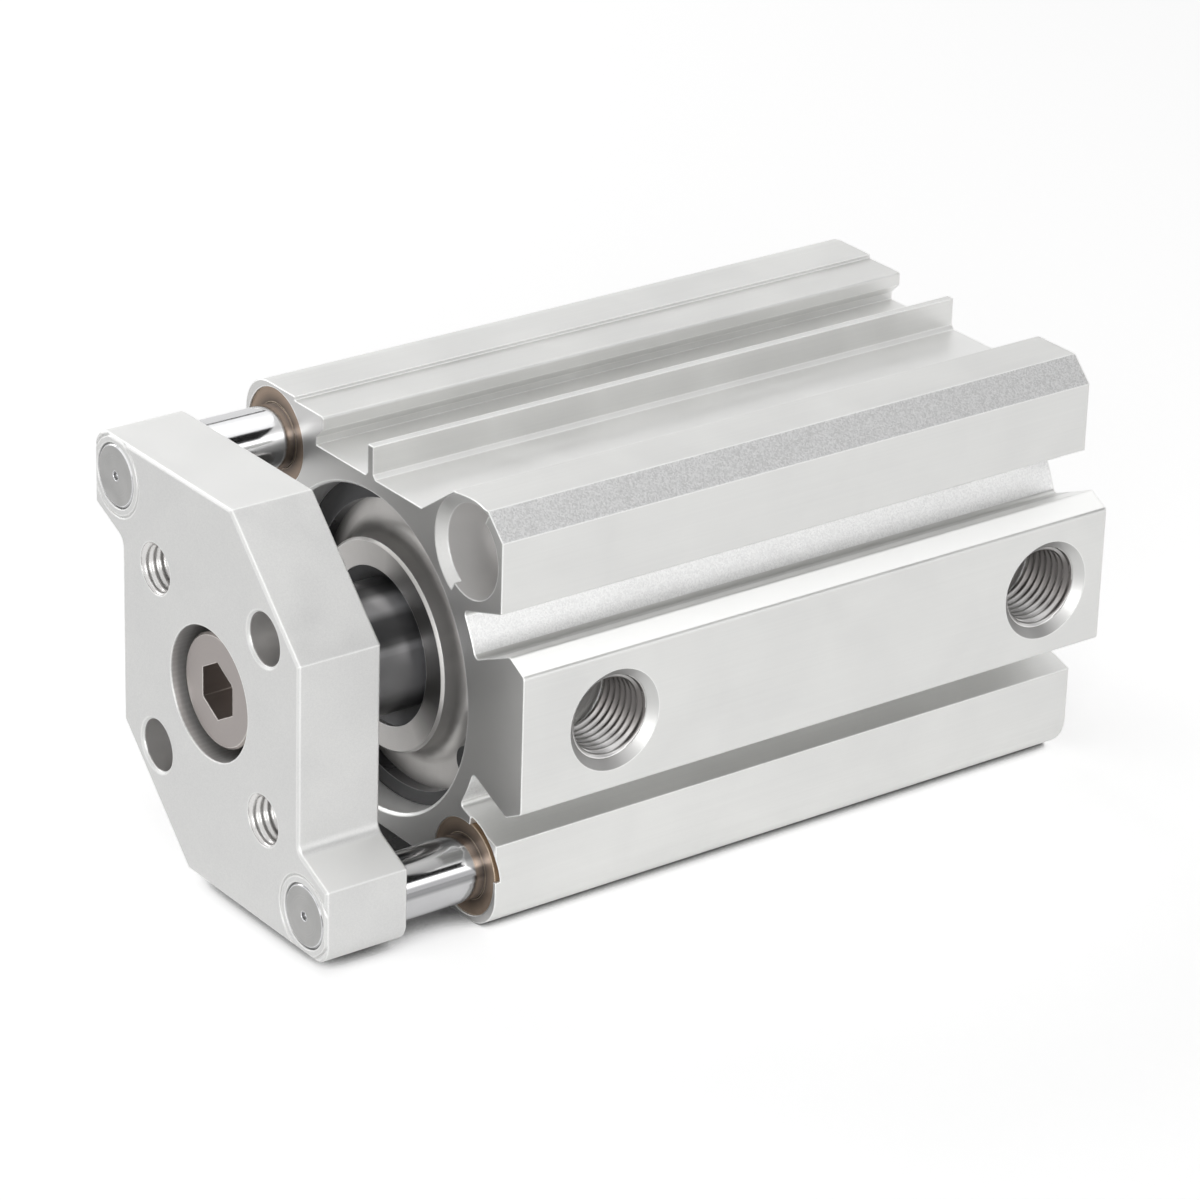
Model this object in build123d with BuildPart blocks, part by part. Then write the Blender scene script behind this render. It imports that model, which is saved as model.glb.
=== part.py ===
from build123d import *
from math import asin, cos, degrees, hypot, isclose, radians, sin, sqrt
import os

os.makedirs("parts", exist_ok=True)

# A guided compact cylinder. The origin is on the cylinder's axis at the tube's rear face.
# The axis runs along Y, the end plate is towards -Y, the air ports face +X and Z is up.
# A station is a distance along the axis, counted from the rear face towards the end plate.

# Driving sizes, in millimetres
stroke = 50.0
bore_diameter = 50.0
side_wall = 8.0
corner_inset = 8.0
plate_gap = 13.7
rod_diameter = 20.0
guide_rod_diameter = 10.0

# Clearances
sliding_gap = 0.06
piston_gap = 0.3
seat_gap = 0.04
stop_gap = 0.25

# Rails and recesses of the tube's top, repeated half a turn round on its bottom
land_step = 0.6
land_inset = 5.0
rail_width = 7.6
rail_undercut = 1.7
rail_lip_face = 2.1
rail_lip_depth = 3.8
rail_lip_round = 0.4
recess_depth = 5.6
fin_x = 0.0
fin_width = 1.3
fin_foot = 0.6
flank_inset = 4.1
flank_run = 7.9
corner_chamfer = 3.7
corner_round = 6.0

# Notches above and below the port boss, repeated half a turn round on the far side
corner_block = 6.6
notch_slope = 2.9
notch_wall = 3.4
notch_low_z = 9.0
boss_tip_z = 12.7
boss_tip_height = 2.2
boss_face_z = 10.8
boss_height = 5.8
boss_round = 0.8
notch_round = 0.8

# Air ports
port_thread_diameter = 13.16
port_mouth_diameter = 15.8
port_depth = 12.0
port_passage_diameter = 5.0
rear_port_station = 11.3
front_port_setback = 16.3

# Corner holes: two for through bolts, two for the guide rods
bolt_hole_diameter = 9.0
bolt_counterbore_diameter = 14.0
bolt_counterbore_depth = 9.0
bolt_relief_width = 1.6
relief_depth = 1.2
bolt_relief_start = 58.0
bolt_relief_sweep = 182.0
guide_relief_width = 1.6
guide_relief_start = 5.0
guide_relief_sweep = 75.0
guide_seat_diameter = 15.0
guide_clear_diameter = 11.2
guide_bushing_length = 20.0
guide_bushing_space = 12.0
guide_bushing_setback = 0.3
guide_rod_rear_station = 10.0

# Retaining rings
rear_ring_setback = 1.3
front_ring_setback = 4.9
ring_thickness = 2.0
ring_slack = 0.1
ring_groove_depth = 1.3
ring_band_width = 4.3
ring_offset = 0.9
ring_ear_radius = 2.6
ring_ear_inset = 2.8
ring_ear_hole_diameter = 2.4
ring_ear_angle = 13.0
ring_slot = 5.0
front_gap_angle = -21.0
rear_gap_angle = 90.0

# Collar, on the rod side
collar_length = 22.0
collar_nose_wall = 6.4
collar_nose_setback = 1.8
collar_nose_root = 2.8
collar_flange_length = 6.6
collar_tail_inset = 3.5
collar_mouth_gap = 2.25
collar_web_gap = 0.3
rod_seal_setback = 0.7
rod_seal_length = 5.0
rod_seal_wall = 4.0
rod_seal_lip = 1.3
rod_bushing_length = 9.8
rod_bushing_wall = 2.2
o_ring_thickness = 2.0
o_ring_groove_width = 2.6

# Head cover, on the closed side
cover_thickness = 6.0
cover_rim_width = 9.0
cover_dish_depth = 1.0

# Piston and what it carries
piston_length = 25.0
piston_end_step = 3.0
piston_end_inset = 4.0
piston_land = 1.6
piston_seal_width = 4.0
piston_seal_depth = 3.2
wear_ring_width = 4.0
wear_ring_depth = 2.0
wear_ring_split = 1.0
magnet_width = 5.0
magnet_depth = 3.6
magnet_cover_gap = 0.6
bumper_inner_radius = 14.0
bumper_width = 5.0
bumper_sunk = 2.0
bumper_proud = 1.0
spigot_diameter = 14.0
spigot_flare = 1.5
gasket_thickness = 1.5

# End plate
plate_thickness = 14.0
plate_inset = 2.0
plate_lug_inset = 2.3
plate_waist_inset = 1.7
plate_lug_rise = 6.1
plate_shoulder_slope = 3.4
plate_shoulder_round = 2.0
plate_chamfer = 17.5
plate_lug_round = 3.0
plate_edge_break = 0.35
plate_hole_circle = 40.4
plate_thread_diameter = 8.0
dowel_hole_diameter = 8.0
dowel_mouth_diameter = 8.8
stake_ring_radius = 6.0
stake_ring_width = 0.35
stake_ring_depth = 0.3

# Screw that holds the end plate to the piston rod
screw_diameter = 10.0
screw_length = 22.0
screw_head_diameter = 17.6
screw_head_height = 10.0
screw_head_sunk = 1.5
screw_counterbore_diameter = 20.6
screw_hole_gap = 0.25
socket_width = 8.0
socket_depth = 5.0
socket_turn = 30.0
drill_point = 2.5

# Small edge breaks, marks and flats
edge_break = 0.4
sealing_ring_flats = 8
centre_mark_radius = 0.7

# Sizes and stations worked out from the ones above
bore_radius = bore_diameter / 2
half_width = bore_radius + side_wall
corner = half_width - corner_inset
rod_radius = rod_diameter / 2
guide_radius = guide_rod_diameter / 2
ring_width = ring_thickness + ring_slack
cover_back = rear_ring_setback + ring_width
cover_front = cover_back + cover_thickness
piston_back = cover_front + stop_gap + bumper_proud
piston_front = piston_back + piston_length
collar_back = piston_front + bumper_proud + stroke + stop_gap
tube_length = collar_back + collar_length
plate_back = tube_length + plate_gap
plate_front = plate_back + plate_thickness
plate_hole_offset = plate_hole_circle / 2 / sqrt(2)
bolt_corners = [(corner, corner), (-corner, -corner)]
guide_corners = {"lower": (corner, -corner), "upper": (-corner, corner)}


# The plane square to the axis at a station, with X to the right and Z up
def section(station):
    return Plane.XZ.offset(station)


# A closed outline of (station, radius) points, for turning about the axis
def turned(points):
    turning = Plane(origin=(0, 0, 0), x_dir=(0, -1, 0), z_dir=(-1, 0, 0))
    with BuildSketch(turning, mode=Mode.PRIVATE) as outline:
        with BuildLine():
            Polyline(*points, close=True)
        make_face()
    return outline.sketch


# The outline of a plain ring between two stations and two radii
def turned_ring(back, front, inner, outer):
    return turned([(back, inner), (front, inner), (front, outer), (back, outer)])


# A sealing ring squeezed in a groove of the given floor radius, its section flattened all round
def sealing_ring(middle, floor_radius, thickness):
    section_radius = thickness / 2
    with BuildPart() as ring:
        with BuildSketch(Plane(origin=(0, -middle, 0), x_dir=(0, -1, 0), z_dir=(-1, 0, 0))):
            with Locations((0, floor_radius + section_radius)):
                RegularPolygon(section_radius - seat_gap, sealing_ring_flats, major_radius=False,
                               rotation=180 / sealing_ring_flats)
        revolve(axis=Axis.Y)
    return ring


# Labels a finished piece and writes its file
def write_piece(piece, name):
    piece.part.label = name
    export_step(piece.part, f"parts/{name}.step")


# Tube. Half of its outline runs along the top and down the port side, and the other half is
# the same turned by 180 degrees. The notch floors follow the bore at a constant wall.
land_step_x = land_inset - corner
rail_lip_x = land_step_x + rail_width
flank_top_x = corner - flank_inset
flank_foot_x = flank_top_x - flank_run
notch_lip_z = corner - corner_block
boss_tip_x = half_width + boss_tip_height
port_face_x = half_width + boss_height
notch_radius = bore_radius + notch_wall
notch_top_angle = degrees(asin((notch_lip_z - notch_slope) / notch_radius))
notch_low_angle = degrees(asin(notch_low_z / notch_radius))
notch_middle_angle = (notch_top_angle + notch_low_angle) / 2
notch_foot_x = sqrt(notch_radius**2 - notch_low_z**2)
boss_flank = (boss_tip_z - notch_low_z) / (boss_tip_x - notch_foot_x)
side_land_z = notch_low_z + boss_flank * (half_width - notch_foot_x)
recess_z = half_width - recess_depth
rail_z = half_width - land_step
rail_face_z = rail_z - rail_lip_face
rail_root_z = rail_z - rail_lip_depth
rail_root_x = rail_lip_x - rail_undercut
fin_left_x = fin_x - fin_width / 2
fin_right_x = fin_x + fin_width / 2
fin_foot_z = recess_z + fin_foot
chamfer_start = half_width - corner_chamfer
port_stations = [rear_port_station, tube_length - front_port_setback]
counterbore_radius = bolt_counterbore_diameter / 2
ring_groove_radius = bore_radius + ring_groove_depth
guide_seat_depth = guide_bushing_setback + 2 * guide_bushing_length + guide_bushing_space
guide_seat_radius = guide_seat_diameter / 2
bolt_relief = (bolt_corners, counterbore_radius, bolt_relief_width, bolt_relief_start, bolt_relief_sweep)
guide_relief = (guide_corners.values(), guide_seat_radius, guide_relief_width,
                guide_relief_start, guide_relief_sweep)


def on_notch_floor(angle):
    return notch_radius * cos(radians(angle)), notch_radius * sin(radians(angle))


with BuildPart() as cylinder_tube:
    with BuildSketch(section(0)) as profile:
        with BuildLine() as outline:
            Polyline((-half_width, half_width), (land_step_x, half_width), (land_step_x, rail_z),
                     (rail_lip_x, rail_z), (rail_lip_x, rail_face_z), (rail_root_x, rail_root_z),
                     (rail_root_x, recess_z), (fin_left_x - fin_foot, recess_z),
                     (fin_left_x, fin_foot_z), (fin_left_x, rail_z), (fin_right_x, rail_z),
                     (fin_right_x, fin_foot_z), (fin_right_x + fin_foot, recess_z),
                     (flank_foot_x, recess_z), (flank_top_x, half_width),
                     (chamfer_start, half_width), (half_width, chamfer_start),
                     (half_width, notch_lip_z), on_notch_floor(notch_top_angle))
            ThreePointArc(on_notch_floor(notch_top_angle), on_notch_floor(notch_middle_angle),
                          on_notch_floor(notch_low_angle))
            Polyline(on_notch_floor(notch_low_angle), (half_width, side_land_z),
                     (half_width, -side_land_z), on_notch_floor(-notch_low_angle))
            ThreePointArc(on_notch_floor(-notch_low_angle), on_notch_floor(-notch_middle_angle),
                          on_notch_floor(-notch_top_angle))
            Polyline(on_notch_floor(-notch_top_angle), (half_width, -notch_lip_z),
                     (half_width, -half_width))
            add([edge.rotate(Axis.Z, 180) for edge in outline.edges()])
        make_face()
        by_diagonal = profile.vertices().sort_by(lambda point: point.X - point.Y)
        fillet([by_diagonal[0], by_diagonal[-1]], radius=corner_round)
        rail_lips = profile.vertices().filter_by(lambda point: isclose(abs(point.X), -rail_lip_x)
                                                 and isclose(abs(point.Y), rail_z))
        fillet(rail_lips, radius=rail_lip_round)
        fillet(profile.vertices().filter_by(lambda point: isclose(hypot(point.X, point.Y), notch_radius)),
               radius=notch_round)
    extrude(amount=tube_length)
    with BuildSketch(section(0)) as boss:
        with BuildLine():
            Polyline((notch_foot_x, notch_low_z), (boss_tip_x, boss_tip_z),
                     (port_face_x, boss_face_z), (port_face_x, -boss_face_z),
                     (boss_tip_x, -boss_tip_z), (notch_foot_x, -notch_low_z), close=True)
        make_face()
        fillet(boss.vertices().filter_by(lambda point: point.X > half_width), radius=boss_round)
    extrude(amount=tube_length)
    with BuildSketch(section(0)):
        Circle(bore_radius)
    extrude(amount=tube_length, mode=Mode.SUBTRACT)
    round_edges = cylinder_tube.edges().filter_by(GeomType.CIRCLE)
    chamfer(round_edges.filter_by(lambda edge: edge.radius == bore_radius), length=edge_break)
    for groove_back in (rear_ring_setback, tube_length - front_ring_setback - ring_width):
        groove_front = groove_back + ring_width
        groove = turned_ring(groove_back, groove_front, bore_radius - edge_break, ring_groove_radius)
        revolve(groove, axis=Axis.Y, mode=Mode.SUBTRACT)
    with Locations(section(tube_length)):
        with Locations(*bolt_corners):
            CounterBoreHole(bolt_hole_diameter / 2, counterbore_radius, bolt_counterbore_depth)
    with BuildSketch(section(tube_length - guide_seat_depth)):
        with Locations(*guide_corners.values()):
            Circle(guide_seat_radius)
    extrude(amount=guide_seat_depth, mode=Mode.SUBTRACT)
    for mouths, mouth, width, first, sweep in (bolt_relief, guide_relief):
        for (x, z), half_turn in zip(mouths, (0, 180)):
            start = radians(first + half_turn)
            relief_plane = Plane(origin=(x, 0, z), x_dir=(0, -1, 0), z_dir=(-sin(start), 0, cos(start)))
            with BuildSketch(relief_plane):
                with BuildLine():
                    Polyline((tube_length - relief_depth, mouth - edge_break),
                             (tube_length, mouth - edge_break), (tube_length, mouth + width),
                             (tube_length - relief_depth, mouth), close=True)
                make_face()
            revolve(axis=Axis((x, 0, z), (0, -1, 0)), revolution_arc=sweep, mode=Mode.SUBTRACT)
    with BuildSketch(section(0)):
        with Locations(*guide_corners.values()):
            Circle(guide_clear_diameter / 2)
    extrude(amount=tube_length - guide_seat_depth, mode=Mode.SUBTRACT)
    with Locations(Plane.YZ.offset(port_face_x)):
        with Locations(*[(-station, 0) for station in port_stations]):
            CounterSinkHole(port_thread_diameter / 2, port_mouth_diameter / 2, port_depth, 90)
            Hole(port_passage_diameter / 2, depth=port_face_x - bore_radius + piston_gap)
write_piece(cylinder_tube, "cylinder_tube")


# Retaining rings: eccentric flat rings with an open gap between two ears
def retaining_ring(back, gap_angle):
    outer_radius = bore_radius + ring_groove_depth / 2 + seat_gap
    inner_radius = outer_radius - ring_band_width + ring_offset
    ear_reach = bore_radius - ring_ear_inset
    with BuildPart() as ring:
        with BuildSketch(section(back)):
            Circle(outer_radius)
            with PolarLocations(ring_offset, 1, start_angle=gap_angle):
                Circle(inner_radius, mode=Mode.SUBTRACT)
            for side in (-1, 1):
                with PolarLocations(ear_reach, 1, start_angle=gap_angle + side * ring_ear_angle):
                    Circle(ring_ear_radius)
                    Circle(ring_ear_hole_diameter / 2, mode=Mode.SUBTRACT)
            with PolarLocations(ear_reach, 1, start_angle=gap_angle):
                Rectangle(2 * ring_band_width, ring_slot, mode=Mode.SUBTRACT)
        extrude(amount=ring_thickness)
    return ring


rear_ring_back = rear_ring_setback + ring_slack / 2
front_ring_back = tube_length - front_ring_setback - ring_width + ring_slack / 2
write_piece(retaining_ring(front_ring_back, front_gap_angle), "rod_side_retaining_ring")
write_piece(retaining_ring(rear_ring_back, rear_gap_angle), "head_retaining_ring")

# Collar, with the rod's seal and bushing inside it and a sealing ring round it
land_radius = bore_radius - sliding_gap
o_ring_floor = bore_radius - o_ring_thickness
flange_front = tube_length - front_ring_setback - ring_width
flange_back = flange_front - collar_flange_length
flange_middle = (flange_front + flange_back) / 2
groove_back = flange_middle - o_ring_groove_width / 2
groove_front = flange_middle + o_ring_groove_width / 2
nose_front = tube_length - collar_nose_setback
nose_radius = rod_radius + collar_nose_wall
tail_radius = bore_radius - collar_tail_inset
mouth_radius = rod_radius + collar_mouth_gap
web_radius = rod_radius + collar_web_gap
seal_radius = rod_radius + rod_seal_wall
seal_front = nose_front - rod_seal_setback
seal_back = seal_front - rod_seal_length
bushing_radius = rod_radius + rod_bushing_wall
bushing_front = collar_back + rod_bushing_length
with BuildPart() as collar:
    body = turned([(nose_front, mouth_radius), (nose_front, nose_radius - edge_break),
                   (nose_front - edge_break, nose_radius), (flange_front, nose_radius),
                   (flange_front, land_radius), (groove_front, land_radius),
                   (groove_front, o_ring_floor), (groove_back, o_ring_floor),
                   (groove_back, land_radius), (flange_back + edge_break, land_radius),
                   (flange_back, land_radius - edge_break), (flange_back, tail_radius),
                   (collar_back, tail_radius), (collar_back, bushing_radius),
                   (bushing_front, bushing_radius), (bushing_front, web_radius),
                   (seal_back, web_radius), (seal_back, seal_radius), (seal_front, seal_radius),
                   (seal_front, mouth_radius)])
    revolve(body, axis=Axis.Y)
    turned_edges = collar.edges().filter_by(GeomType.CIRCLE)
    nose_edges = turned_edges.filter_by(lambda edge: isclose(edge.radius, nose_radius))
    fillet(nose_edges.sort_by(Axis.Y)[-1], radius=collar_nose_root)
write_piece(collar, "collar")
write_piece(sealing_ring(flange_middle, o_ring_floor, o_ring_thickness), "collar_o_ring")

with BuildPart() as rod_seal:
    lip_root = seal_back + 2 * rod_seal_lip
    seal_inner = rod_radius + sliding_gap
    seal_outer = seal_radius - seat_gap
    body = turned([(seal_back + seat_gap, seal_inner), (seal_back + seat_gap, seal_inner + rod_seal_lip),
                   (lip_root, (seal_inner + seal_outer) / 2),
                   (seal_back + seat_gap, seal_outer - rod_seal_lip), (seal_back + seat_gap, seal_outer),
                   (seal_front - seat_gap, seal_outer), (seal_front - seat_gap, seal_inner)])
    revolve(body, axis=Axis.Y)
write_piece(rod_seal, "rod_seal")

with BuildPart() as rod_bushing:
    body = turned_ring(collar_back + seat_gap, bushing_front - seat_gap,
                       rod_radius + sliding_gap, bushing_radius - seat_gap)
    revolve(body, axis=Axis.Y)
write_piece(rod_bushing, "rod_bushing")

# Head cover, with a dished outer face and its sealing ring
cover_middle = (cover_back + cover_front) / 2
dish_radius = bore_radius - cover_rim_width
groove_back = cover_middle - o_ring_groove_width / 2
groove_front = cover_middle + o_ring_groove_width / 2
with BuildPart() as head_cover:
    body = turned([(cover_back + cover_dish_depth, 0),
                   (cover_back + cover_dish_depth, dish_radius - cover_dish_depth),
                   (cover_back, dish_radius), (cover_back, land_radius),
                   (groove_back, land_radius), (groove_back, o_ring_floor),
                   (groove_front, o_ring_floor), (groove_front, land_radius),
                   (cover_front - edge_break, land_radius), (cover_front, land_radius - edge_break),
                   (cover_front, 0)])
    revolve(body, axis=Axis.Y)
write_piece(head_cover, "head_cover")
write_piece(sealing_ring(cover_middle, o_ring_floor, o_ring_thickness), "head_o_ring")

# Piston, its grooves counted from the rear: wear ring, magnet, seal
wear_back = piston_back + piston_end_step + piston_land
wear_front = wear_back + wear_ring_width
magnet_back = wear_front + piston_land
magnet_front = magnet_back + magnet_width
seal_groove_front = piston_front - piston_end_step - piston_land
seal_groove_back = seal_groove_front - piston_seal_width
outer = bore_radius - piston_gap
end_radius = bore_radius - piston_end_inset
bumper_outer_radius = bumper_inner_radius + bumper_width
wear_floor = bore_radius - wear_ring_depth
magnet_floor = bore_radius - magnet_depth
seal_floor = bore_radius - piston_seal_depth
spigot_radius = spigot_diameter / 2
gasket_middle = piston_front - bumper_sunk - 2 * gasket_thickness
gasket_floor = spigot_radius + gasket_thickness
flare_radius = spigot_radius + spigot_flare
with BuildPart() as piston:
    body = turned([(piston_back, flare_radius + seat_gap),
                   (piston_back, bumper_inner_radius),
                   (piston_back + bumper_sunk, bumper_inner_radius),
                   (piston_back + bumper_sunk, bumper_outer_radius),
                   (piston_back, bumper_outer_radius), (piston_back, end_radius),
                   (piston_back + piston_end_step, end_radius),
                   (piston_back + piston_end_step, outer),
                   (wear_back, outer), (wear_back, wear_floor), (wear_front, wear_floor), (wear_front, outer),
                   (magnet_back, outer), (magnet_back, magnet_floor),
                   (magnet_front, magnet_floor), (magnet_front, outer),
                   (seal_groove_back, outer), (seal_groove_back, seal_floor),
                   (seal_groove_front, seal_floor), (seal_groove_front, outer),
                   (piston_front - piston_end_step, outer),
                   (piston_front - piston_end_step, end_radius),
                   (piston_front, end_radius), (piston_front, bumper_outer_radius),
                   (piston_front - bumper_sunk, bumper_outer_radius),
                   (piston_front - bumper_sunk, bumper_inner_radius),
                   (piston_front, bumper_inner_radius), (piston_front, spigot_radius + seat_gap),
                   (gasket_middle + gasket_thickness, spigot_radius + seat_gap),
                   (gasket_middle + gasket_thickness, gasket_floor),
                   (gasket_middle - gasket_thickness, gasket_floor),
                   (gasket_middle - gasket_thickness, spigot_radius + seat_gap),
                   (piston_back + spigot_flare, spigot_radius + seat_gap)])
    revolve(body, axis=Axis.Y)
write_piece(piston, "piston")
write_piece(sealing_ring(gasket_middle, spigot_radius, gasket_thickness), "piston_gasket")

with BuildPart() as piston_seal:
    seal_middle = (seal_groove_back + seal_groove_front) / 2
    lip_radius = bore_radius - sliding_gap
    body = turned([(seal_groove_back + seat_gap, seal_floor + seat_gap),
                   (seal_groove_front - seat_gap, seal_floor + seat_gap),
                   (seal_groove_front - seat_gap, lip_radius), (seal_middle, outer - sliding_gap),
                   (seal_groove_back + seat_gap, lip_radius)])
    revolve(body, axis=Axis.Y)
write_piece(piston_seal, "piston_seal")

with BuildPart() as wear_ring:
    body = turned_ring(wear_back + seat_gap, wear_front - seat_gap,
                       wear_floor + seat_gap, bore_radius - sliding_gap)
    revolve(body, axis=Axis.Y)
    with BuildSketch(section(0)):
        Rectangle(wear_ring_split, bore_diameter, align=(Align.CENTER, Align.MIN))
    extrude(amount=tube_length, mode=Mode.SUBTRACT)
write_piece(wear_ring, "wear_ring")

with BuildPart() as piston_magnet:
    body = turned_ring(magnet_back + seat_gap, magnet_front - seat_gap,
                       magnet_floor + seat_gap, bore_radius - magnet_cover_gap)
    revolve(body, axis=Axis.Y)
write_piece(piston_magnet, "piston_magnet")


# Rubber bumpers, one in each end of the piston
def bumper(seat_station, free_station):
    with BuildPart() as ring:
        body = turned_ring(min(seat_station, free_station), max(seat_station, free_station),
                           bumper_inner_radius + seat_gap, bumper_outer_radius - seat_gap)
        revolve(body, axis=Axis.Y)
    return ring


rear_seat = piston_back + bumper_sunk - seat_gap
front_seat = piston_front - bumper_sunk + seat_gap
write_piece(bumper(rear_seat, piston_back - bumper_proud), "rear_bumper")
write_piece(bumper(front_seat, piston_front + bumper_proud), "front_bumper")

# Piston rod, flared over the piston at its rear end and tapped for the plate's screw
tap_radius = screw_diameter / 2 + seat_gap
web_thickness = plate_thickness - screw_head_sunk - screw_head_height
tap_floor = plate_back - screw_length + web_thickness - drill_point
with BuildPart() as piston_rod:
    body = turned([(piston_back, 0), (piston_back, flare_radius),
                   (piston_back + spigot_flare, spigot_radius), (piston_front + seat_gap, spigot_radius),
                   (piston_front + seat_gap, rod_radius), (plate_back - edge_break, rod_radius),
                   (plate_back, rod_radius - edge_break), (plate_back, tap_radius),
                   (tap_floor, tap_radius), (tap_floor - drill_point, 0)])
    revolve(body, axis=Axis.Y)
write_piece(piston_rod, "piston_rod")

# Guide bushings and guide rods
for place, (x, z) in guide_corners.items():
    front_bushing_front = tube_length - guide_bushing_setback
    rear_bushing_front = front_bushing_front - guide_bushing_length - guide_bushing_space
    for end, bushing_front in (("front", front_bushing_front), ("rear", rear_bushing_front)):
        with BuildPart() as guide_bushing:
            with BuildSketch(section(bushing_front - guide_bushing_length)):
                with Locations((x, z)):
                    Circle(guide_seat_radius - seat_gap)
                    Circle(guide_radius + sliding_gap, mode=Mode.SUBTRACT)
            extrude(amount=guide_bushing_length)
        write_piece(guide_bushing, f"guide_bushing_{place}_{end}")
    with BuildPart() as guide_rod:
        with BuildSketch(section(guide_rod_rear_station)):
            with Locations((x, z)):
                Circle(guide_radius)
        extrude(amount=plate_front - guide_rod_rear_station)
        chamfer(guide_rod.edges().filter_by(GeomType.CIRCLE), length=edge_break)
        with BuildSketch(section(plate_front)):
            with Locations((x, z)):
                Circle(centre_mark_radius)
        extrude(amount=-centre_mark_radius, mode=Mode.SUBTRACT)
    write_piece(guide_rod, f"guide_rod_{place}")

# End plate. Half of its outline runs from the top round the port side to the lower lug.
plate_top = half_width - plate_inset
lug_reach = half_width - plate_lug_inset
waist_x = corner - plate_waist_inset
lug_z = corner - plate_lug_rise
shoulder_z = lug_z - plate_shoulder_slope
with BuildPart() as end_plate:
    with BuildSketch(section(plate_back)) as profile:
        with BuildLine() as outline:
            Polyline((-lug_reach, plate_top), (waist_x - plate_chamfer, plate_top),
                     (waist_x, plate_top - plate_chamfer), (waist_x, -shoulder_z),
                     (lug_reach, -lug_z), (lug_reach, -plate_top))
            add([edge.rotate(Axis.Z, 180) for edge in outline.edges()])
        make_face()
        by_diagonal = profile.vertices().sort_by(lambda point: point.X - point.Y)
        fillet([by_diagonal[0], by_diagonal[-1]], radius=plate_lug_round)
        fillet(profile.vertices().filter_by(lambda point: isclose(abs(point.Y), shoulder_z)),
               radius=plate_shoulder_round)
    extrude(amount=plate_thickness)
    flat_ends = end_plate.faces().sort_by(Axis.Y)
    chamfer(flat_ends[0].edges() + flat_ends[-1].edges(), length=plate_edge_break)
    with Locations(section(plate_front)):
        CounterBoreHole(screw_diameter / 2 + screw_hole_gap, screw_counterbore_diameter / 2,
                        screw_head_sunk + screw_head_height)
        with Locations((-plate_hole_offset, plate_hole_offset), (plate_hole_offset, -plate_hole_offset)):
            Hole(plate_thread_diameter / 2)
        with Locations((plate_hole_offset, plate_hole_offset), (-plate_hole_offset, -plate_hole_offset)):
            CounterSinkHole(dowel_hole_diameter / 2, dowel_mouth_diameter / 2, counter_sink_angle=90)
        with Locations(*guide_corners.values()):
            Hole(guide_radius + seat_gap)
    with BuildSketch(section(plate_front)):
        with Locations(*guide_corners.values()):
            Circle(stake_ring_radius + stake_ring_width)
            Circle(stake_ring_radius, mode=Mode.SUBTRACT)
    extrude(amount=-stake_ring_depth, mode=Mode.SUBTRACT)
write_piece(end_plate, "end_plate")

# Socket screw through the end plate into the piston rod
head_front = plate_front - screw_head_sunk
head_back = head_front - screw_head_height
with BuildPart() as plate_screw:
    body = turned([(head_back - screw_length, 0), (head_back - screw_length, screw_diameter / 2 - edge_break),
                   (head_back - screw_length + edge_break, screw_diameter / 2),
                   (head_back, screw_diameter / 2), (head_back, screw_head_diameter / 2),
                   (head_front - edge_break, screw_head_diameter / 2),
                   (head_front, screw_head_diameter / 2 - edge_break), (head_front, 0)])
    revolve(body, axis=Axis.Y)
    with BuildSketch(section(head_front)):
        RegularPolygon(socket_width / 2, 6, major_radius=False, rotation=socket_turn)
    extrude(amount=-socket_depth, mode=Mode.SUBTRACT)
write_piece(plate_screw, "plate_screw")
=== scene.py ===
import math

import bpy
from mathutils import Matrix, Vector


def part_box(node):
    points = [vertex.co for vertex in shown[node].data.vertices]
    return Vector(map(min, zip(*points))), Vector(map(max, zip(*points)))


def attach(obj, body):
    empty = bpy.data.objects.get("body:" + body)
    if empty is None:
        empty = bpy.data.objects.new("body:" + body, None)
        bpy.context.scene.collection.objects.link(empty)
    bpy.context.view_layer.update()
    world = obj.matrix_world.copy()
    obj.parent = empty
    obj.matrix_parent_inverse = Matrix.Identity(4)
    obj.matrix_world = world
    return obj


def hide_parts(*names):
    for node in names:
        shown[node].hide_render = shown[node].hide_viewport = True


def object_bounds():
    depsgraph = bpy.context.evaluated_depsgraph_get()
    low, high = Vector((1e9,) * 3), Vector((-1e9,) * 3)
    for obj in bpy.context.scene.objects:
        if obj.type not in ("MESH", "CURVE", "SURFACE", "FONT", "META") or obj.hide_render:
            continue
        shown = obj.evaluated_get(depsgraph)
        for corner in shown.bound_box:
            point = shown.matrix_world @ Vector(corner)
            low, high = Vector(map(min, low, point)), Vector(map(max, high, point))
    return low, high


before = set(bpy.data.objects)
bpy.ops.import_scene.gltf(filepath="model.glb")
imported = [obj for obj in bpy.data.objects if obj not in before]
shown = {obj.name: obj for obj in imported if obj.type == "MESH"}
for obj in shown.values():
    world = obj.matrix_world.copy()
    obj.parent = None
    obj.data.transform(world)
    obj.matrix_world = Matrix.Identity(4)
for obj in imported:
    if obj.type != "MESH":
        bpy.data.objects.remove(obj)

# A guided air cylinder. The axis runs along Y, the end plate is towards -Y, the air ports face +X, Z is up.
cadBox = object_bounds()
mm = 0.001
tubeLow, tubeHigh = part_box("cylinder_tube")
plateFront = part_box("end_plate")[0].y
portInset = {"rear": 11.3 * mm, "front": 16.3 * mm}        # from each end of the tube to its port
portYs = {"rear": tubeHigh.y - portInset["rear"], "front": tubeLow.y + portInset["front"]}
cornerPlace = 25 * mm        # how far the corner holes stand off the axis, across and up
plateHolePlace = 14.284 * mm        # the same for the plate's four small holes


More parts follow.
